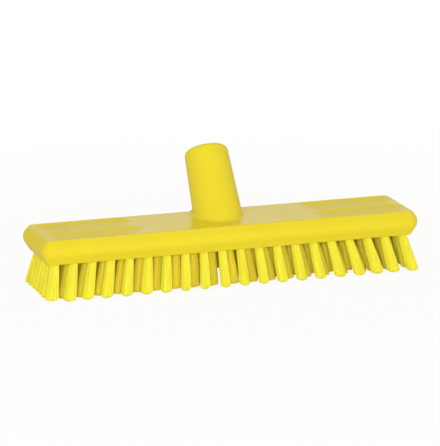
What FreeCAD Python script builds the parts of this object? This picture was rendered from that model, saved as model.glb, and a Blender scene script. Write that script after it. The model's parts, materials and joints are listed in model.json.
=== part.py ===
import FreeCAD, Part
import math
import os
from FreeCAD import Rotation, Vector

# Deck scrub brush head. A moulded block with a bull-nosed edge carries a leaning tapered socket for a
# screw-in handle. Seven staggered rows of bristle tufts fan out below it. Each tuft stands in its own blind
# hole on the flat wire anchor that it is folded round, and the tips are trimmed to one flat plane. The thin
# loop of the fold, on the far side of the wire, is not drawn.
# X runs along the block, Y from front to back, Z up. The tips stand on Z = 0, and the origin lies under
# the middle of the whole outline.

# Block
block_length = 305.0
block_width = 66.0
underside_height = 28.7
nose_above_underside = 10.7
nose_below_top = 8.8
nose_radius = 8.0
nose_radius_limit_share = 0.9
top_edge_inset = 4.9
top_edge_radius = 2.0
underside_edge_inset = 5.3
underside_edge_radius = 1.5
corner_radius = 8.0

# Flutes in the top of the block, a pair on each side of the socket. The margins run to the top's edge and
# to the block's end, and the inner end is measured from the middle of the block.
flute_depth = 1.8
flute_ridge = 2.0
flute_side_margin = 1.0
flute_end_margin = 6.0
flute_inner_end = 69.0

# Handle socket. The inset of its axis is measured at the top of the block, from the block's back.
socket_lean_degrees = 33.0
socket_axis_inset = 23.2
socket_length = 54.5
socket_foot_radius = 19.0
socket_mouth_radius = 17.0
socket_lip_radius = 4.0
socket_foot_fillet = 4.0
bore_radius = 12.0
bore_depth = 45.0
bore_lead_in = 0.6

# Tufts, their holes and their anchors. There are as many rows as fit at the least pitch. Rows of the first
# count and of one more take turns, and all end at the same margin. The margins run from the outermost
# holes' centres to the block's ends and sides, the splays widen the pitch at the tips, and the many-sided
# tufts and holes have radii to corners. The bare patch lies under the socket, a little behind the block's
# middle.
least_row_pitch = 7.6
first_row_tufts = 20
tuft_sides = 6
row_end_margin = 11.33
row_side_margin = 10.2
pitch_splay = 0.74
row_splay = 2.05
tip_radius = 5.35
bare_patch_radius = 14.0
bare_patch_back = 3.8
hole_radius = 3.0
hole_depth = 11.0
tuft_clearance = 0.06
anchor_height = 2.4
anchor_thickness = 0.4
anchor_clearance = 0.05

# Overrun of every cut past the face that it opens, and how near two points count as one
overrun = 4.0
same_point = 0.01

# Values worked out from the sizes above
block_thickness = nose_above_underside + nose_below_top
top_height = underside_height + block_thickness
flute_outer_end = block_length / 2 - flute_end_margin
flute_width = (block_width - flute_ridge) / 2 - top_edge_inset - flute_side_margin
socket_foot_back = block_width / 2 - socket_axis_inset
row_length = block_length - 2 * row_end_margin
tuft_pitch = row_length / (first_row_tufts - 1)
rows_width = block_width - 2 * row_side_margin
row_count = math.floor((rows_width + same_point) / least_row_pitch) + 1
row_pitch = rows_width / (row_count - 1)
tip_pitch = tuft_pitch + pitch_splay
tip_row_pitch = row_pitch + row_splay
X_AXIS = Vector(1, 0, 0)
Y_AXIS = Vector(0, 1, 0)
Z_AXIS = Vector(0, 0, 1)


def rounded_face(corners, radii):
    """Face in the XZ plane inside a polygon whose corners are rounded by the given radii."""
    edges = []
    joints = []
    count = len(corners)
    for k in range(count):
        before, corner, after = corners[k - 1], corners[k], corners[(k + 1) % count]
        back = (before - corner).normalize()
        on = (after - corner).normalize()
        half_angle = back.getAngle(on) / 2
        reach = radii[k] / math.tan(half_angle)
        start = corner + back * reach
        end = corner + on * reach
        if radii[k] > 0:
            bisector = (back + on).normalize()
            middle = corner + bisector * (radii[k] / math.sin(half_angle) - radii[k])
            edges.append(Part.Arc(start, middle, end).toShape())
        joints.append((start, end))
    for k in range(count):
        edges.append(Part.LineSegment(joints[k - 1][1], joints[k][0]).toShape())
    return Part.Face(Part.Wire(Part.__sortEdges__(edges)))


def edge_profile(inner):
    """Section through the block's edge in the XZ plane, outwards along X from the corner's centre.

    It reaches back by inner, stands on the underside and swells to its nose at the corner radius.
    """
    low = Vector(corner_radius - underside_edge_inset, 0, 0)
    high = Vector(corner_radius - top_edge_inset, 0, block_thickness)
    limits = [
        (nose_below_top**2 + top_edge_inset**2) / (2 * top_edge_inset),
        (nose_above_underside**2 + underside_edge_inset**2) / (2 * underside_edge_inset),
    ]
    radius = min(nose_radius, nose_radius_limit_share * min(limits))
    centre = Vector(corner_radius - radius, 0, nose_above_underside)
    # The flanks run from both edges to touch the nose's circle, and meet at the apex outside it
    up = high - centre
    down = low - centre
    upper = math.atan2(up.z, up.x) - math.acos(radius / up.Length)
    lower = math.atan2(down.z, down.x) + math.acos(radius / down.Length)
    middle = (upper + lower) / 2
    apex = centre + Vector(math.cos(middle), 0, math.sin(middle)) * (radius / math.cos((upper - lower) / 2))
    corners = [Vector(-inner, 0, 0), low, apex, high, Vector(-inner, 0, block_thickness)]
    profile = rounded_face(corners, [0, underside_edge_radius, radius, top_edge_radius, 0])
    profile.translate(Z_AXIS * underside_height)
    return profile


def block_body():
    """The plain block: the edge's section along both sides and both ends, and turned round the corners."""
    half_run = block_length / 2 - corner_radius
    half_side = block_width / 2 - corner_radius
    side = edge_profile(half_side)
    side.rotate(Vector(), Z_AXIS, 90)
    side.translate(Y_AXIS * half_side - X_AXIS * half_run)
    sides = [side.extrude(X_AXIS * (2 * half_run))]
    sides.append(sides[0].mirror(Vector(), Y_AXIS))
    end = edge_profile(0)
    end.translate(X_AXIS * half_run - Y_AXIS * half_side)
    corner = edge_profile(0)
    corner.translate(X_AXIS * half_run + Y_AXIS * half_side)
    turned = corner.revolve(X_AXIS * half_run + Y_AXIS * half_side, Z_AXIS, 90)
    right = [end.extrude(Y_AXIS * (2 * half_side)), turned, turned.mirror(Vector(), Y_AXIS)]
    left = [piece.mirror(Vector(), X_AXIS) for piece in right]
    return sides[0].fuse(sides[1:] + right + left).removeSplitter()


def flute_cutters():
    """Round-ended cutters for the two pairs of shallow flutes."""
    half_width = flute_width / 2
    radius = (half_width**2 + flute_depth**2) / (2 * flute_depth)
    half_run = (flute_outer_end - flute_inner_end) / 2 - half_width
    middle = (flute_outer_end + flute_inner_end) / 2
    tip = Vector(half_run + radius, 0, 0)
    shoulder = Vector(half_run, 0, radius)
    turn = Vector(half_run + radius * math.sin(math.pi / 4), 0, radius * math.cos(math.pi / 4))
    arcs = [Part.Arc(shoulder, turn, tip).toShape()]
    arcs.append(arcs[0].mirror(Vector(), X_AXIS))
    lines = [Part.makeLine(shoulder - X_AXIS * (2 * half_run), shoulder), Part.makeLine(-tip, tip)]
    outline = Part.Wire(Part.__sortEdges__(arcs + lines))
    cutter = Part.Face(outline).revolve(Vector(), X_AXIS, 360)
    cutters = []
    for x in (-middle, middle):
        for y in (-(flute_ridge + flute_width) / 2, (flute_ridge + flute_width) / 2):
            placed = cutter.copy()
            placed.translate(Vector(x, y, top_height + radius - flute_depth))
            cutters.append(placed)
    return cutters


def leaning(shape):
    """Move a shape drawn upright on the origin to the socket's foot, leaning back."""
    shape.rotate(Vector(), X_AXIS, -socket_lean_degrees)
    shape.translate(Vector(0, socket_foot_back, top_height))
    return shape


def socket_outside():
    """The socket's tapered outside with its rounded lip, carried down into the block to nose height."""
    taper = (socket_foot_radius - socket_mouth_radius) / socket_length
    root = block_width
    corners = [
        Vector(0, 0, -root),
        Vector(socket_foot_radius + taper * root, 0, -root),
        Vector(socket_mouth_radius, 0, socket_length),
        Vector(0, 0, socket_length),
    ]
    outside = leaning(rounded_face(corners, [0, 0, socket_lip_radius, 0]).revolve(Vector(), Z_AXIS, 360))
    above = Part.makeBox(block_length, block_length, block_length)
    above.translate(Vector(-block_length / 2, -block_length / 2, underside_height + nose_above_underside))
    return outside.common(above)


def socket_bore():
    """The blind bore that takes the handle's thread, with a chamfered mouth."""
    floor = socket_length - bore_depth
    mouth = socket_length
    wide = bore_radius + bore_lead_in
    corners = [
        Vector(0, 0, floor),
        Vector(bore_radius, 0, floor),
        Vector(bore_radius, 0, mouth - bore_lead_in),
        Vector(wide, 0, mouth),
        Vector(wide, 0, mouth + overrun),
        Vector(0, 0, mouth + overrun),
    ]
    outline = Part.makePolygon(corners + corners[:1])
    return leaning(Part.Face(outline).revolve(Vector(), Z_AXIS, 360))


def handle_socket(block):
    """The socket above the block's skin, with the fillet that spreads its foot."""
    outside = socket_outside()
    seam = outside.section(block)
    joined = block.fuse(outside)
    foot = []
    for edge in joined.Edges:
        middle = Part.Vertex(edge.valueAt((edge.FirstParameter + edge.LastParameter) / 2))
        if middle.distToShape(seam)[0] < same_point:
            foot.append(edge)
    return joined.makeFillet(socket_foot_fillet, foot).cut(block).cut(socket_bore())


def polygon_ring(centre, across, along, radius):
    """Corners of a regular polygon round a centre, with a flat side square to the first direction."""
    step = 2 * math.pi / tuft_sides
    angles = [(k + 0.5) * step for k in range(tuft_sides)]
    return [centre + across * (radius * math.cos(a)) + along * (radius * math.sin(a)) for a in angles]


def rectangle_ring(centre, half_across, half_along):
    """Corners of a rectangle round a centre."""
    return [
        centre + half_across + half_along,
        centre - half_across + half_along,
        centre - half_across - half_along,
        centre + half_across - half_along,
    ]


def faceted_solid(rings):
    """Flat-faced solid through rings of corners."""
    loops = [rings[0], rings[-1]]
    for first, last in zip(rings, rings[1:]):
        for k in range(len(first)):
            loops.append([first[k - 1], first[k], last[k], last[k - 1]])
    faces = [Part.Face(Part.makePolygon(loop + loop[:1])) for loop in loops]
    shell = Part.makeShell(faces)
    shell.sewShape()
    solid = Part.makeSolid(shell)
    solid.fix(0, 0, 0)
    return solid


class TuftPlace:
    """Where one tuft stands: its mouth on the underside, its tip, and the directions of its hole."""

    def __init__(self, x, y):
        self.mouth = Vector(x, y, underside_height)
        self.tip = Vector(x * tip_pitch / tuft_pitch, y * tip_row_pitch / row_pitch, 0)
        self.free_length = (self.mouth - self.tip).Length
        self.inward = (self.mouth - self.tip).normalize()
        self.across = self.inward.cross(X_AXIS).normalize()
        self.along = self.across.cross(self.inward)

    def ring(self, depth, radius):
        return polygon_ring(self.mouth + self.inward * depth, self.across, self.along, radius)

    def hole(self):
        return faceted_solid([self.ring(-overrun, hole_radius), self.ring(hole_depth, hole_radius)])

    def anchor(self):
        """Flat wire on its edge across the bottom of the hole, from flat to flat."""
        hole_across_flats = 2 * hole_radius * math.cos(math.pi / tuft_sides)
        half_across = self.across * (hole_across_flats / 2 - anchor_clearance)
        half_along = self.along * (anchor_thickness / 2)
        rings = []
        for depth in (hole_depth - anchor_height, hole_depth):
            rings.append(rectangle_ring(self.mouth + self.inward * depth, half_across, half_along))
        return faceted_solid(rings)

    def tuft(self):
        """Bundle that stands on its anchor and widens evenly from there to its tip, trimmed flat."""
        mouth_ring = self.ring(0, hole_radius - tuft_clearance)
        wide_ring = self.ring(-self.free_length, tip_radius)
        ways = [(low - high) / self.free_length for low, high in zip(wide_ring, mouth_ring)]
        root = [high - way * (hole_depth - anchor_height) for high, way in zip(mouth_ring, ways)]
        trimmed = [high - way * (high.z / way.z) for high, way in zip(mouth_ring, ways)]
        return faceted_solid([root, trimmed])


def tuft_rows():
    """Tuft places by row and side. The rows are staggered, and no tuft stands on the bare patch."""
    rows = {}
    for row in range(row_count):
        count = first_row_tufts + row % 2
        y = (row - (row_count - 1) / 2) * row_pitch
        for k in range(count):
            x = (k / (count - 1) - 1 / 2) * row_length
            if math.hypot(x, y - bare_patch_back) > bare_patch_radius:
                side = "left" if x < 0 else "right"
                rows.setdefault((row + 1, side), []).append(TuftPlace(x, y))
    return rows


def build():
    """Every node of the brush by name, with the origin still under the middle of the block.

    The block and its socket are one moulding, drawn as two solids that meet face to face at the foot.
    """
    rows = tuft_rows()
    fluted = block_body().cut(flute_cutters())
    holes = [place.hole() for places in rows.values() for place in places]
    nodes = {"block": Part.makeCompound([fluted.cut(holes), handle_socket(fluted)])}
    for (row, side), places in rows.items():
        nodes[f"tufts_row_{row}_{side}"] = Part.makeCompound([place.tuft() for place in places])
        nodes[f"anchors_row_{row}_{side}"] = Part.makeCompound([place.anchor() for place in places])
    return nodes


def main():
    nodes = build()
    box = FreeCAD.BoundBox()
    for shape in nodes.values():
        box.add(shape.optimalBoundingBox())
    shift = Vector(-(box.XMin + box.XMax) / 2, -(box.YMin + box.YMax) / 2, 0)
    os.makedirs("parts", exist_ok=True)
    for name, shape in nodes.items():
        shape.translate(shift)
        shape.exportStep(f"parts/{name}.step")
        print(f"{name}: {len(shape.Solids)} solids, {shape.Volume:.0f} mm3, valid {shape.isValid()}")
    lean = Rotation(X_AXIS, -socket_lean_degrees)
    foot = Vector(0, socket_foot_back, top_height) + shift
    print("whole size", box.XLength, box.YLength, box.ZLength, "moved by", shift)
    print("bore axis", lean.multVec(Z_AXIS), "mouth at", foot + lean.multVec(Z_AXIS * socket_length))


main()
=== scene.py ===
# %% [markdown]
# # A deck scrub brush head
# The brush is one yellow moulding with a leaning socket for a handle, and below it seven staggered
# rows of stiff bristle tufts. The solids of the brush come in first as a fixed frame: every new
# piece is measured from them, so nothing has to be fitted by eye.

# %% Load the solids
import json
import math
import random

import bpy
from mathutils import Matrix, Vector


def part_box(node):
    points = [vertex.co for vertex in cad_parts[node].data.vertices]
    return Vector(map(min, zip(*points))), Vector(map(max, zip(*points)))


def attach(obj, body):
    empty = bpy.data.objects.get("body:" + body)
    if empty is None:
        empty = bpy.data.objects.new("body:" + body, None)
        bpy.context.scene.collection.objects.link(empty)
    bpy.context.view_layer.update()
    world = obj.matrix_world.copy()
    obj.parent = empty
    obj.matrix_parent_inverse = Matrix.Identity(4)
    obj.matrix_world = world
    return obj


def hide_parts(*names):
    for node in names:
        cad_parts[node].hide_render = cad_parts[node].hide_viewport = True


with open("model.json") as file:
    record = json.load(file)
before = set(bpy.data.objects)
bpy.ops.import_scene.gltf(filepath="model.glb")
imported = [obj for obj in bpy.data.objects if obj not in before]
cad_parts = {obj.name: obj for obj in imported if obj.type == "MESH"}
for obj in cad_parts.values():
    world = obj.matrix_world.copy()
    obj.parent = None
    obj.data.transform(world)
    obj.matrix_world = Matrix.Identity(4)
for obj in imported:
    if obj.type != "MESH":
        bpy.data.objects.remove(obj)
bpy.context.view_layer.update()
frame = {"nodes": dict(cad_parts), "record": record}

# %% [markdown]
# ## Sizes that the pieces share
# The holes, the tufts and the thread all have to line up, so their sizes are written once, in
# metres. The margins run from the outermost holes to the block's ends and sides, and the splays
# widen the pitch at the tips. The block's middle is found from its own box, since the frame's
# origin lies under the middle of the whole outline.

# %% Shared sizes
block_length = 0.305
block_width = 0.066
underside = 0.0287
top = 0.0482
row_count = 7
first_row_tufts = 20
hole_radius = 0.0031
hole_depth = 0.011
row_end_margin = 0.01133
row_side_margin = 0.0102
pitch_splay = 0.00074
row_splay = 0.00205
bare_patch_radius = 0.014
bare_patch_back = 0.0038
row_length = block_length - 2 * row_end_margin
hole_pitch = row_length / (first_row_tufts - 1)
hole_row_pitch = (block_width - 2 * row_side_margin) / (row_count - 1)
tip_pitch = hole_pitch + pitch_splay
tip_row_pitch = hole_row_pitch + row_splay
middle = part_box("block")[0].y + block_width / 2
print("pitch along and across:", round(hole_pitch, 5), round(hole_row_pitch, 5))

# %% [markdown]
# ## Where the tufts stand
# Rows of 20 and 21 tufts take turns, which staggers them. Typing 137 places would invite slips, so
# they are worked out from the pitches. No tuft stands on the bare patch under the socket.

# %% Tuft places
def tuft_places():
    """Row, side, hole mouth and tip of every tuft."""
    for row in range(row_count):
        count = first_row_tufts + row % 2
        rank = row - (row_count - 1) / 2
        for k in range(count):
            x, y = (k / (count - 1) - 0.5) * row_length, rank * hole_row_pitch
            if math.hypot(x, y - bare_patch_back) > bare_patch_radius:
                mouth = Vector((x, middle + y, underside))
                tip = Vector((x * tip_pitch / hole_pitch, middle + rank * tip_row_pitch, 0))
                yield row + 1, "left" if x < 0 else "right", mouth, tip


print("tufts:", len(list(tuft_places())), "block middle at y", round(middle, 5))

# %% [markdown]
# ## Small helpers
# An operator acts on whatever is selected, and the solids come in selected. So each step first
# clears the selection and then picks out its own object. What repeats is modelled once and copied,
# each copy with a mesh of its own.

# %% Helpers
def clear_selection():
    if bpy.context.object and bpy.context.object.mode != "OBJECT":
        bpy.ops.object.mode_set(mode="OBJECT")
    bpy.ops.object.select_all(action="DESELECT")


def pick(*pieces):
    clear_selection()
    for piece in pieces:
        piece.select_set(True)
    bpy.context.view_layer.objects.active = pieces[0]


def copy_of(model, name):
    piece = model.copy()
    piece.data = model.data.copy()
    piece.name = name
    bpy.context.scene.collection.objects.link(piece)
    return piece


def joined(pieces, name):
    pick(*pieces)
    bpy.ops.object.join()
    pieces[0].name = name
    pieces[0].data.name = name
    return pieces[0]


def use_modifier(piece, kind, **settings):
    pick(piece)
    modifier = piece.modifiers.new(kind.lower(), kind)
    for key, value in settings.items():
        setattr(modifier, key, value)
    bpy.ops.object.modifier_apply(modifier=modifier.name)


print("helpers ready")

# %% [markdown]
# ## Nodes for the finishes
# A finish is a small network of nodes, which by hand would be drawn in the shader editor. A few
# helpers keep each network down to the lines that matter: a noise for unevenness, a ramp that turns
# one range of numbers into another, a mix of two tones, a formula, and a bump for fine relief. Each
# gives back the socket to read from.

# %% Nodes
noise_low, noise_high = 0.3, 0.7


def new_finish(name):
    material = bpy.data.materials.new(name)
    material.use_nodes = True
    return material, material.node_tree.nodes, material.node_tree.links


def noise(nodes, links, place, scale, detail):
    node = nodes.new("ShaderNodeTexNoise")
    node.inputs["Scale"].default_value = scale
    node.inputs["Detail"].default_value = detail
    links.new(place.outputs["Object"], node.inputs["Vector"])
    return node.outputs["Fac"]


def ramp(nodes, links, source, start, end, low, high, rise="LINEAR"):
    """Map a value between start and end onto a range."""
    node = nodes.new("ShaderNodeMapRange")
    node.interpolation_type = rise
    settings = {"From Min": start, "From Max": end, "To Min": low, "To Max": high}
    for socket, value in settings.items():
        node.inputs[socket].default_value = value
    links.new(source, node.inputs["Value"])
    return node.outputs["Result"]


def spread(nodes, links, source, low, high):
    """Map a noise, which stays mostly near its middle, onto a range."""
    return ramp(nodes, links, source, noise_low, noise_high, low, high)


def formula(nodes, links, operation, *values):
    """A Math node whose inputs are sockets or plain numbers."""
    node = nodes.new("ShaderNodeMath")
    node.operation = operation
    for socket, value in zip(node.inputs, values):
        if isinstance(value, (int, float)):
            socket.default_value = value
        else:
            links.new(value, socket)
    return node.outputs["Value"]


def two_tone(nodes, links, factor, first, second):
    node = nodes.new("ShaderNodeMix")
    node.data_type = "RGBA"
    node.inputs["A"].default_value = (*first, 1)
    node.inputs["B"].default_value = (*second, 1)
    links.new(factor, node.inputs["Factor"])
    return node.outputs["Result"]


def bump(nodes, links, height, strength, distance):
    node = nodes.new("ShaderNodeBump")
    node.inputs["Strength"].default_value = strength
    node.inputs["Distance"].default_value = distance
    links.new(height, node.inputs["Height"])
    return node.outputs["Normal"]


print("node helpers ready")

# %% [markdown]
# ## Yellow moulded plastic
# The block is polypropylene with the colour mixed in before moulding, so it is the same yellow all
# through. What the eye reads as plastic is a satin gloss, the faint cloudiness of the colour and the
# fine grain that the mould leaves. Hands and stacking have polished the flat top, while the sides
# kept the mould's dull skin. A photograph of plastic would show all that from one side only, so it
# is made from noise and from the height in the object's own space.

# %% Moulded plastic
plastic_tones = (0.80, 0.668, 0.013), (0.84, 0.702, 0.019)
plastic_ior = 1.49
cloud_scale, cloud_detail = 38, 3
grain_scale, grain_detail = 2600, 2
grain_strength, grain_depth = 0.12, 0.00004
dull_roughness = 0.49, 0.57
polish = 0.24
polish_rises = top - 0.0042, top - 0.0001
polish_fades = top + 0.0004, top + 0.0018


def moulded_plastic():
    material, nodes, links = new_finish("yellow_moulding")
    shader = nodes["Principled BSDF"]
    place = nodes.new("ShaderNodeTexCoord")
    cloud = noise(nodes, links, place, cloud_scale, cloud_detail)
    tone = two_tone(nodes, links, cloud, *plastic_tones)
    links.new(tone, shader.inputs["Base Color"])
    grain = noise(nodes, links, place, grain_scale, grain_detail)
    relief = bump(nodes, links, grain, grain_strength, grain_depth)
    links.new(relief, shader.inputs["Normal"])
    parts = nodes.new("ShaderNodeSeparateXYZ")
    links.new(place.outputs["Object"], parts.inputs["Vector"])
    above_sides = ramp(nodes, links, parts.outputs["Z"], *polish_rises, 0, 1)
    below_socket = ramp(nodes, links, parts.outputs["Z"], *polish_fades, 1, 0)
    polished = formula(nodes, links, "MULTIPLY", above_sides, below_socket)
    dull = spread(nodes, links, cloud, *dull_roughness)
    roughness = formula(nodes, links, "MULTIPLY_ADD", polished, -polish, dull)
    links.new(roughness, shader.inputs["Roughness"])
    shader.inputs["IOR"].default_value = plastic_ior
    return material


yellow_moulding = moulded_plastic()
print("finish:", yellow_moulding.name)

# %% [markdown]
# ## Bristle and wire
# The bristles are drawn polyester filament. A pattern in space would run straight through from one
# filament to the next, so each filament takes its own lighter or darker tone from a number stored on
# its mesh. That number also carries painted shade: the inner tufts take the deeper, more orange end
# of the range. The anchors are rolled steel wire, which keeps a faint unevenness from the rolls in
# its colour and gloss. Their solids need no new shape, only this finish.

# %% Bristle and wire finishes
# The orange end of these tones is painted shade for the inner tufts, and the lemon end is a lighter
# yellow for the outer ones.
bristle_tones_and_shade = (0.985, 0.765, 0.058), (0.972, 0.965, 0.063)
bristle_ior = 1.5
streak_scale, streak_detail = 900, 1
bristle_roughness = 0.30, 0.46
wire_tones = (0.50, 0.50, 0.48), (0.62, 0.62, 0.60)
drag_scale, drag_detail = 1500, 2
wire_roughness = 0.28, 0.42


def bristle_filament():
    material, nodes, links = new_finish("yellow_bristle")
    shader = nodes["Principled BSDF"]
    tone_number = nodes.new("ShaderNodeAttribute")
    tone_number.attribute_name = "tone"
    tone = two_tone(nodes, links, tone_number.outputs["Fac"], *bristle_tones_and_shade)
    links.new(tone, shader.inputs["Base Color"])
    place = nodes.new("ShaderNodeTexCoord")
    streak = noise(nodes, links, place, streak_scale, streak_detail)
    roughness = spread(nodes, links, streak, *bristle_roughness)
    links.new(roughness, shader.inputs["Roughness"])
    shader.inputs["IOR"].default_value = bristle_ior
    return material


def anchor_wire():
    material, nodes, links = new_finish("anchor_steel")
    shader = nodes["Principled BSDF"]
    place = nodes.new("ShaderNodeTexCoord")
    drag = noise(nodes, links, place, drag_scale, drag_detail)
    links.new(two_tone(nodes, links, drag, *wire_tones), shader.inputs["Base Color"])
    links.new(spread(nodes, links, drag, *wire_roughness), shader.inputs["Roughness"])
    shader.inputs["Metallic"].default_value = 1.0
    return material


yellow_bristle = bristle_filament()
anchor_steel = anchor_wire()
for name, node in frame["nodes"].items():
    if name.startswith("anchors"):
        node.data.materials.clear()
        node.data.materials.append(anchor_steel)
print("finishes:", yellow_bristle.name, anchor_steel.name)

# %% [markdown]
# ## The moulding
# The block and its socket have the right shape already, so the moulding starts as a copy of that
# solid. The copy comes as loose triangles, which would shade as flat facets, so it is merged first.
# The solid's holes are six-sided to keep it light. Here they are taken out and the underside is
# closed again.

# %% The moulding without its holes
same_place = 0.00001
holes_from_end, holes_from_side = 0.008, 0.007
past_hole = 0.001
flat_angle = math.radians(0.3)
moulding = copy_of(frame["nodes"]["block"], "moulded_block")
pick(moulding)
bpy.ops.object.mode_set(mode="EDIT")
bpy.ops.mesh.select_all(action="SELECT")
bpy.ops.mesh.remove_doubles(threshold=same_place)
bpy.ops.mesh.select_all(action="DESELECT")
bpy.ops.object.mode_set(mode="OBJECT")
for face in moulding.data.polygons:
    centre = face.center
    along_rows = abs(centre.x) < block_length / 2 - holes_from_end
    across_rows = abs(centre.y - middle) < block_width / 2 - holes_from_side
    reach = hole_depth + past_hole if along_rows and across_rows else same_place
    face.select = centre.z < underside + reach
bpy.ops.object.mode_set(mode="EDIT")
bpy.ops.mesh.delete(type="FACE")
bpy.ops.mesh.select_all(action="DESELECT")
bpy.ops.mesh.select_non_manifold(extend=False, use_wire=False, use_multi_face=False, use_verts=False)
bpy.ops.mesh.edge_face_add()
bpy.ops.mesh.select_all(action="SELECT")
bpy.ops.mesh.dissolve_limited(angle_limit=flat_angle)
bpy.ops.object.mode_set(mode="OBJECT")
print("moulding:", len(moulding.data.polygons), "faces without its holes")

# %% [markdown]
# ## Round tuft holes
# Each hole is drilled along the lean of its own tuft. Cutting them one by one would run the Boolean
# modifier 137 times. So one drill is copied to every place, the copies are joined, and the whole set
# cuts at once.

# %% Round tuft holes
drill_sides = 18
bpy.ops.mesh.primitive_cylinder_add(
    vertices=drill_sides, radius=hole_radius, depth=2 * hole_depth, location=(0, 0, 0))
drill = bpy.context.object
drills = []
for row, side, mouth, tip in tuft_places():
    cut = copy_of(drill, "drill")
    turn = (mouth - tip).to_track_quat("Z", "Y").to_matrix().to_4x4()
    cut.data.transform(Matrix.Translation(mouth) @ turn)
    drills.append(cut)
bpy.data.objects.remove(drill)
drill_set = joined(drills, "drill_set")
use_modifier(moulding, "BOOLEAN", object=drill_set, operation="DIFFERENCE", solver="EXACT")
bpy.data.objects.remove(drill_set)
print("moulding:", len(moulding.data.polygons), "faces with round holes")

# %% [markdown]
# ## The moulding's skin
# A moulding has soft curves and a few crisp folds, round the flat top and at the mouths of the
# holes. Smoothing everything would smear shade across the flats. So the folds are marked sharp in
# code, by the way the two faces beside each edge point, and weighted normals keep the flats flat.

# %% Smooth skin and finish of the moulding
smooth_angle = math.radians(32)
level_normal = 0.9999
fold_cosine = 0.5
pick(moulding)
bpy.ops.object.shade_smooth_by_angle(angle=smooth_angle)
faces_beside = {}
for face in moulding.data.polygons:
    on_top = face.normal.z > level_normal and abs(face.center.z - top) < same_place
    for key in face.edge_keys:
        faces_beside.setdefault(key, []).append((on_top, face.normal.copy()))
for edge in moulding.data.edges:
    (first_on_top, first_normal), (second_on_top, second_normal) = faces_beside[edge.key]
    if first_on_top != second_on_top or first_normal.dot(second_normal) < fold_cosine:
        edge.use_edge_sharp = True
use_modifier(moulding, "WEIGHTED_NORMAL", mode="FACE_AREA", weight=50, keep_sharp=True)
moulding.data.materials.clear()
moulding.data.materials.append(yellow_moulding)
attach(moulding, "root")
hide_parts("block")
print("moulding finished:", len(moulding.data.vertices), "vertices")

# %% [markdown]
# ## One filament
# A tuft is a bundle of cut filaments, and at arm's length the bundle reads as fine streaks. A plain
# cone would lose them. So one filament is modelled, five-sided and with two rings to bend at, and
# everything else is copies of it.

# %% One filament
filament_radius = 0.0003
filament_sides = 5
ring_heights = -0.1, 0.2
filament_smooth_angle = math.radians(80)
clear_selection()
bpy.ops.mesh.primitive_cylinder_add(
    vertices=filament_sides, radius=filament_radius, depth=1, location=(0, 0, 0))
filament = bpy.context.object
filament.name = "filament"
bpy.ops.object.mode_set(mode="EDIT")
for height in ring_heights:
    bpy.ops.mesh.select_all(action="SELECT")
    bpy.ops.mesh.bisect(plane_co=(0, 0, height), plane_no=(0, 0, 1))
bpy.ops.mesh.select_all(action="SELECT")
bpy.ops.transform.translate(value=(0, 0, 0.5))
bpy.ops.object.mode_set(mode="OBJECT")
bpy.ops.object.shade_smooth_by_angle(angle=filament_smooth_angle)
print("filament:", len(filament.data.polygons), "faces")

# %% [markdown]
# ## How a bundle opens
# Filaments leave the hole packed tight and fan out to the tips, quickly at first and then more
# evenly, so the spread follows a power of the height. A filled core stands in for the middle
# filaments, which nobody sees, and keeps light from leaking through between the outer ones.

# %% Flare and core of a bundle
bundle_top = underside + 0.0075
root_spread = 0.00278
tip_spread_across = 0.0042
flare_power = 0.55
core_share = 0.86
core_end = 0.0025
core_sides = 12
core_tone = 0.5
core_smooth_angle = math.radians(60)


def set_tone(piece, tone):
    values = piece.data.attributes.new("tone", "FLOAT", "POINT")
    values.data.foreach_set("value", [tone] * len(piece.data.vertices))


def flare(way, share, toward, tip_spread_along):
    """Place of a filament across the bundle, from the wide tip at 0 to the hole's mouth at 1."""
    tip = Vector((way.x * tip_spread_along, way.y * tip_spread_across, 0))
    return (way * root_spread).lerp(tip, (1 - toward) ** flare_power) * share


def core(tip_spread_along):
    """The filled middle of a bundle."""
    clear_selection()
    bpy.ops.mesh.primitive_cylinder_add(vertices=core_sides, radius=1, depth=1, location=(0, 0, 0.5))
    piece = bpy.context.object
    bpy.ops.object.transform_apply()
    for vertex in piece.data.vertices:
        height = core_end + vertex.co.z * (bundle_top - core_end)
        toward = min(height / underside, 1.0)
        way = Vector((vertex.co.x, vertex.co.y, 0))
        vertex.co = flare(way, core_share, toward, tip_spread_along) + Vector((0, 0, height))
    bpy.ops.object.shade_smooth_by_angle(angle=core_smooth_angle)
    set_tone(piece, core_tone)
    return piece


print("bundles reach from the tips to", round(bundle_top, 4))

# %% [markdown]
# ## A few bundles
# Tufts along the edge stand free, so their ends are rounded, and they open wider towards the ends of
# the brush: four bundles do for them, from narrow to wide. Inner tufts press on their neighbours,
# and their bundle is wider and flatter below. The roots follow the pattern of seeds in a sunflower,
# which packs a round hole evenly. All disorder comes from one seeded source, so each run is the same.

# %% Bundles
rng = random.Random(41)
filaments_per_tuft = 110
golden_turn = math.pi * (3 - math.sqrt(5))
disorder = 0.00012
tone_middle, tone_spread = 0.5, 0.22
# How wide a bundle opens along the brush, and how far its outer filaments are cut shorter
outer_shapes = (0.0040, 0.0018), (0.0044, 0.0018), (0.0048, 0.0018), (0.0051, 0.0016)
inner_shape = 0.0052, 0.0008


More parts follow.
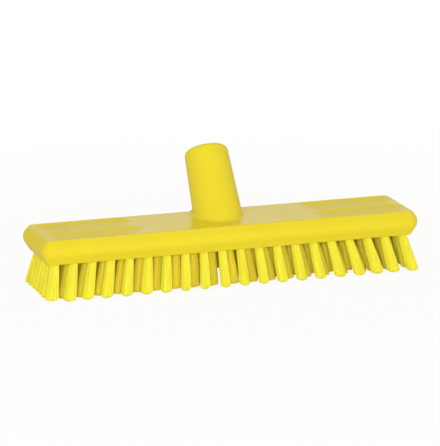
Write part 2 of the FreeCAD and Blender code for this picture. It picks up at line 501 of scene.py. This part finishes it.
def bundle(name, tip_spread_along, tip_rise):
    """Filaments standing on the plane of the tips, flared from the hole's mouth down."""
    strands = [core(tip_spread_along)]
    for k in range(filaments_per_tuft):
        share = math.sqrt((k + 0.5) / filaments_per_tuft)
        angle = k * golden_turn
        way = Vector((math.cos(angle), math.sin(angle), 0))
        wander = Vector((rng.gauss(0, disorder), rng.gauss(0, disorder), 0)) * share
        sway = Vector((rng.gauss(0, disorder), rng.gauss(0, disorder), 0))
        trim = tip_rise * share**2 + abs(rng.gauss(0, disorder))
        strand = copy_of(filament, "strand")
        for vertex in strand.data.vertices:
            height = trim + vertex.co.z * (bundle_top - trim)
            toward = min(height / underside, 1.0)
            bend = 4 * toward * (1 - toward)
            centre = flare(way, share, toward, tip_spread_along)
            centre = centre + wander * (1 - toward) + sway * bend
            vertex.co = centre + Vector((vertex.co.x, vertex.co.y, height))
        set_tone(strand, min(max(rng.gauss(tone_middle, tone_spread), 0), 1))
        strands.append(strand)
    return joined(strands, name)


shapes = (*outer_shapes, inner_shape)
bundles = [bundle(f"bundle_{k}", *shape) for k, shape in enumerate(shapes)]
bpy.data.objects.remove(filament)
print("bundles:", [len(b.data.polygons) for b in bundles], "faces")

# %% [markdown]
# ## How use has bent the tips
# Brushes are stacked and handled, which combs the front tips a little to one side and the left end
# inwards. A random lean would look restless, because neighbours bend alike. So the lean is read from
# a short table of places along the brush, straight from one place to the next.

# %% Combing
comb_leans = (
    (-0.150, 0.0025), (-0.135, 0.0018), (-0.105, -0.0010), (-0.060, 0.0002), (-0.016, 0.0006),
    (-0.007, 0.0016), (0.060, 0.0015), (0.105, 0.0030), (0.122, 0.0), (0.150, 0.0),
)
combed_rows = 2
combed_end = -0.11
second_row_reach = -0.010, 0.110
second_row_lean, second_row_lean_beyond = 0.0012, -0.0008


def comb_lean(x):
    """Lean at a place along the brush, read between the places in the table."""
    for (x0, lean0), (x1, lean1) in zip(comb_leans, comb_leans[1:]):
        if x <= x1:
            return lean0 + (lean1 - lean0) * max(x - x0, 0) / (x1 - x0)
    return comb_leans[-1][1]


def combed(row, x):
    """How far use has bent a tuft's tip along the brush."""
    lean = comb_lean(x) if row <= combed_rows or x < combed_end else 0
    if row == 2:
        inside = second_row_reach[0] < x < second_row_reach[1]
        lean += second_row_lean if inside else second_row_lean_beyond
    return lean


print("combed by up to", max(lean for place, lean in comb_leans))

# %% [markdown]
# ## Planting the tufts
# Each tuft leans out by its own amount. Leaning is done by sliding every level of the bundle
# sideways, not by turning it, so the tips stay trimmed to one plane as the blade leaves them. The
# last tufts on the left are worn shorter. The inner tufts are given a deeper, more orange yellow and
# the outer ones a lighter yellow: painted shade for the shadow that falls between the tufts. The
# tufts of one row and side become one piece, which stands for the plain solids there.

# %% Tuft rows
end_share = 0.99
end_wear = 0.0013
# Outer tufts take the lighter half of the tones and inner tufts the deeper half: painted light and
# painted shade.
outer_painted_light_tones, inner_painted_shade_tones = (0.5, 1.0), (0.0, 0.5)
widest = len(outer_shapes) - 1


def tone_range(piece, low, high):
    """Bring the filaments' tone numbers into a part of the whole range."""
    tones = [0.0] * len(piece.data.vertices)
    numbers = piece.data.attributes["tone"].data
    numbers.foreach_get("value", tones)
    numbers.foreach_set("value", [low + tone * (high - low) for tone in tones])


def planted(row, mouth, tip):
    """A bundle for this place, slid to its mouth and its combed tip."""
    outward = abs(mouth.x) / (row_length / 2)
    outer = row in (1, row_count) or outward > end_share
    model = bundles[min(int(outward * widest + rng.random()), widest)] if outer else bundles[-1]
    tuft = copy_of(model, "tuft")
    # Painted shade: inner tufts get the deeper tones and outer tufts the lighter ones.
    tone_range(tuft, *(outer_painted_light_tones if outer else inner_painted_shade_tones))
    tip.x += combed(row, mouth.x)
    slide = Matrix.Translation(tip)
    slide[0][2] = (mouth.x - tip.x) / underside
    slide[1][2] = (mouth.y - tip.y) / underside
    worn = end_wear if outward > end_share and mouth.x < 0 else 0
    shorten = Matrix.Translation((0, 0, worn)) @ Matrix.Scale(1 - worn / underside, 4, (0, 0, 1))
    half_turns = Matrix.Rotation(math.pi * rng.randrange(2), 4, "Z")
    tuft.data.transform(slide @ shorten @ half_turns)
    return tuft


rows = {}
for row, side, mouth, tip in tuft_places():
    rows.setdefault(f"row_{row}_{side}", []).append(planted(row, mouth, tip))
for model in bundles:
    bpy.data.objects.remove(model)
bristle_faces = 0
for name, tufts in rows.items():
    piece = joined(tufts, f"bristles_{name}")
    piece.data.materials.append(yellow_bristle)
    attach(piece, "root")
    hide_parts(f"tufts_{name}")
    bristle_faces += len(piece.data.polygons)
print("bristle rows:", len(rows), "pieces,", bristle_faces, "faces")

# %% [markdown]
# ## The handle thread
# The socket takes a screwed handle, so a coarse rounded thread runs down its bore. A screw cut into
# the wall would need a difficult cut along a helix. The thread's ridge alone is a small profile that
# winds round the bore's axis while it climbs, which the Screw modifier makes. Its foot is sunk a
# little into the wall, so that no gap shows beside it.

# %% Thread ridge
bore_radius = 0.012
thread_pitch = 0.005
thread_turns = 6
thread_height = 0.0011
thread_sunk = 0.0004
foot_half_width, crest_half_width = 0.0014, 0.0005
steps = 36 * thread_turns
corners = (
    (thread_sunk, -foot_half_width), (thread_sunk, foot_half_width),
    (-thread_height, crest_half_width), (-thread_height, -crest_half_width),
)
clear_selection()
bpy.ops.mesh.primitive_plane_add(size=1, location=(0, 0, 0))
thread = bpy.context.object
thread.name = "socket_thread"
for vertex, (outward, climb) in zip((0, 1, 3, 2), corners):
    thread.data.vertices[vertex].co = (bore_radius + outward, 0, climb)
bpy.ops.object.mode_set(mode="EDIT")
bpy.ops.mesh.select_all(action="SELECT")
bpy.ops.mesh.delete(type="ONLY_FACE")
bpy.ops.object.mode_set(mode="OBJECT")
use_modifier(
    thread, "SCREW", axis="Z", angle=2 * math.pi * thread_turns,
    screw_offset=thread_pitch * thread_turns, steps=steps, render_steps=steps,
    use_merge_vertices=False)
print("thread:", len(thread.data.polygons), "faces before its ends are closed")

# %% [markdown]
# ## The thread in its bore
# The Screw modifier leaves both ends of the ridge open, and it may wind the faces inside out. So the
# ends are filled and the normals recalculated, before the ridge is moved down the leaning bore. The
# bore's place comes from the mount, which is where a handle would be fitted.

# %% Thread in the bore
thread_below_mouth = 0.004
thread_smooth_angle = math.radians(40)
bore_axis = Vector(frame["record"]["mounts"][0]["axis"]).normalized()
bore_mouth = Vector(frame["record"]["mounts"][0]["pos_m"])
pick(thread)
bpy.ops.object.mode_set(mode="EDIT")
bpy.ops.mesh.select_all(action="DESELECT")
bpy.ops.mesh.select_non_manifold(extend=False, use_wire=False, use_multi_face=False, use_verts=False)
bpy.ops.mesh.edge_face_add()
bpy.ops.mesh.select_all(action="SELECT")
bpy.ops.mesh.normals_make_consistent(inside=False)
bpy.ops.object.mode_set(mode="OBJECT")
drop = -thread_pitch * thread_turns - thread_below_mouth
thread.data.transform(Matrix.Translation((0, 0, drop)))
turn = bore_axis.to_track_quat("Z", "Y").to_matrix().to_4x4()
thread.data.transform(Matrix.Translation(bore_mouth) @ turn)
pick(thread)
bpy.ops.object.shade_smooth_by_angle(angle=thread_smooth_angle)
thread.data.materials.clear()
thread.data.materials.append(yellow_moulding)
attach(thread, "root")
print("thread:", len(thread.data.polygons), "faces")

# %% [markdown]
# ## Floor
# Cleaning tools are shown on plain white. A floor lit to white would need so much light that the
# yellow would wash out, so the floor looks white to the camera by itself. It keeps a trace of the
# brush's shadow close by, and gives reflections only a faint glint.

# %% Floor
floor_size = 8
floor_tone = 0.95
floor_roughness = 0.9
shadow_fades = 0.15, 0.6
white_near, white_far = 0.93, 1.0
floor_glint = 0.15


def two_surfaces(nodes, links, share, first, second, output):
    """Show the second surface by its share, and the first for the rest."""
    node = nodes.new("ShaderNodeMixShader")
    links.new(share, node.inputs["Fac"])
    links.new(first, node.inputs[1])
    links.new(second, node.inputs[2])
    links.new(node.outputs["Shader"], output.inputs["Surface"])


clear_selection()
bpy.ops.mesh.primitive_plane_add(size=floor_size, location=(0, 0, 0))
floor = bpy.context.object
floor.name = "floor"
material, nodes, links = new_finish("white_floor")
shader = nodes["Principled BSDF"]
shader.inputs["Base Color"].default_value = (floor_tone, floor_tone, floor_tone, 1)
shader.inputs["Roughness"].default_value = floor_roughness
rays = nodes.new("ShaderNodeLightPath").outputs
white = nodes.new("ShaderNodeEmission")
place = nodes.new("ShaderNodeTexCoord")
away = nodes.new("ShaderNodeVectorMath")
away.operation = "LENGTH"
links.new(place.outputs["Object"], away.inputs[0])
whiteness = ramp(
    nodes, links, away.outputs["Value"], *shadow_fades, white_near, white_far, "SMOOTHSTEP")
glint = formula(nodes, links, "MULTIPLY", rays["Is Glossy Ray"], floor_glint)
clear_ray = formula(nodes, links, "MAXIMUM", rays["Is Camera Ray"], rays["Is Transmission Ray"])
any_ray = formula(nodes, links, "MAXIMUM", clear_ray, glint)
seen = formula(nodes, links, "MULTIPLY", whiteness, any_ray)
two_surfaces(
    nodes, links, seen, shader.outputs["BSDF"], white.outputs["Emission"], nodes["Material Output"])
floor.data.materials.append(material)
print("floor:", floor.name)

# %% [markdown]
# ## Room
# The room is white to the camera, while the light that it gives is lower and a little warm, so that
# the yellow comes out as it is written. The part of it that lies behind the brush is white in
# reflections as well, which gives the flat top its pale sheen.

# %% Room
fill_colour, fill_strength = (1, 0.92, 0.82, 1), 0.67
behind_brush = 0.317, 0.948, 0
sheen_rises = 0.85, 0.97
room = bpy.data.worlds.new("white_room")
bpy.context.scene.world = room
room.use_nodes = True
nodes, links = room.node_tree.nodes, room.node_tree.links
fill = nodes["Background"]
fill.inputs["Color"].default_value = fill_colour
fill.inputs["Strength"].default_value = fill_strength
seen_room = nodes.new("ShaderNodeBackground")
seen_room.inputs["Color"].default_value = (1, 1, 1, 1)
seen_room.inputs["Strength"].default_value = 1.0
rays = nodes.new("ShaderNodeLightPath").outputs
place = nodes.new("ShaderNodeTexCoord")
behind = nodes.new("ShaderNodeVectorMath")
behind.operation = "DOT_PRODUCT"
behind.inputs[1].default_value = behind_brush
links.new(place.outputs["Generated"], behind.inputs[0])
sheen = ramp(nodes, links, behind.outputs["Value"], *sheen_rises, 0, 1, "SMOOTHSTEP")
glint = formula(nodes, links, "MULTIPLY", sheen, rays["Is Glossy Ray"])
clear_ray = formula(nodes, links, "MAXIMUM", rays["Is Camera Ray"], rays["Is Transmission Ray"])
any_ray = formula(nodes, links, "MAXIMUM", clear_ray, glint)
two_surfaces(
    nodes, links, any_ray, fill.outputs["Background"], seen_room.outputs["Background"],
    nodes["World Output"])
print("room:", room.name)

# %% [markdown]
# ## Lamp
# One soft panel lights the brush from the camera's side. From higher up it would leave the spaces
# between the tufts black, so it stands near the camera's line and reaches into them. It is kept out
# of reflections, where it would make a hot spot on the moulding.

# %% Panel
panel_azimuth, panel_elevation = math.radians(-19), math.radians(13.5)
panel_distance = 2.6
panel_width, panel_height = 0.9, 0.7
panel_energy = 31.5
panel_colour = 0.96, 1, 0.92
panel_aim = Vector((0, middle, 0.04))


def direction(azimuth, elevation):
    """From the brush towards a stand. Azimuth 0 is the block's front."""
    level = math.cos(elevation)
    return Vector((math.sin(azimuth) * level, -math.cos(azimuth) * level, math.sin(elevation)))


towards_panel = direction(panel_azimuth, panel_elevation)
lamp = bpy.data.lights.new("key_panel", "AREA")
lamp.shape = "RECTANGLE"
lamp.size, lamp.size_y = panel_width, panel_height
lamp.energy = panel_energy
lamp.color = panel_colour
key_panel = bpy.data.objects.new("key_panel", lamp)
key_panel.location = panel_aim + towards_panel * panel_distance
key_panel.rotation_euler = towards_panel.to_track_quat("Z", "Y").to_euler()
key_panel.visible_glossy = False
bpy.context.scene.collection.objects.link(key_panel)
print("panel at", [round(v, 3) for v in key_panel.location])

# %% [markdown]
# ## Camera
# The brush is seen from the front, a little to the left and from above, with a long lens from far
# off: its rows run almost parallel. The place and the lens were worked out from the edges of the
# block in the picture, and the small shift puts the brush where it stands in the frame.

# %% Camera
picture_width = 440
film_width = 36
azimuth, elevation, roll = math.radians(-18.47), math.radians(14.00), math.radians(0.21)
distance = 2.76
pixels_per_metre = 1289.3
shift_right, shift_down = 1.7, 3.1
aim = Vector((0, middle, 0.0413))
back = direction(azimuth, elevation)
level_right = Vector((math.cos(azimuth), math.sin(azimuth), 0))
level_up = back.cross(level_right)
right = level_right * math.cos(roll) - level_up * math.sin(roll)
up = level_right * math.sin(roll) + level_up * math.cos(roll)
lens = bpy.data.cameras.new("camera")
lens.sensor_fit = "HORIZONTAL"
lens.sensor_width = film_width
lens.lens = film_width * pixels_per_metre * distance / picture_width
lens.shift_x = -shift_right / picture_width
lens.shift_y = shift_down / picture_width
lens.clip_start, lens.clip_end = 0.1, 50
camera = bpy.data.objects.new("camera", lens)
turned = Matrix((right, up, back)).transposed().to_4x4()
camera.matrix_world = Matrix.Translation(aim + back * distance) @ turned
bpy.context.scene.collection.objects.link(camera)
bpy.context.scene.camera = camera
bpy.context.scene.view_settings.view_transform = "Standard"
print("camera:", round(lens.lens, 1), "mm lens at", [round(v, 3) for v in camera.location])
